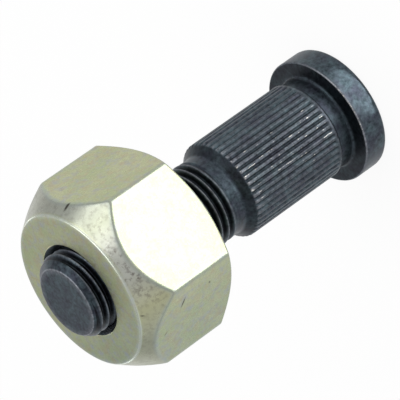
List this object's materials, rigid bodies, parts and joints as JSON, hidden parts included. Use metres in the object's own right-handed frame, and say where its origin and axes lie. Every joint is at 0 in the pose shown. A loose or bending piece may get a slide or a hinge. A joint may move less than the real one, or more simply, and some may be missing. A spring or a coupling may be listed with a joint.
{
  "type": "hub bolt",
  "caption": "Truck wheel hub bolt with a round head, a serrated press-fit shank and a threaded end that carries a hexagon wheel nut with a coned outer end.",
  "frame": {"origin": "centre of the head's outer face, on which the bolt stands", "axes": "+Z along the bolt's axis from the head to the threaded end; -Y is the normal of one of the nut's flats"},
  "size_m": [0.0474, 0.041, 0.0837],
  "materials": {
    "blackened_steel": "black oxide, satin, worn on the serrations' crests",
    "zinc_plated_steel": "yellow chromated zinc, satin"
  },
  "bodies": {
    "bolt": {"hub_bolt": "blackened_steel"},
    "nut": {"wheel_nut": "zinc_plated_steel"}
  },
  "joints": [
    {"name": "nut_turn", "type": "hinge", "parent": "bolt", "child": "nut", "pos_m": [0, 0, 0.0665], "axis": [0, 0, 1], "continuous": true}
  ]
}
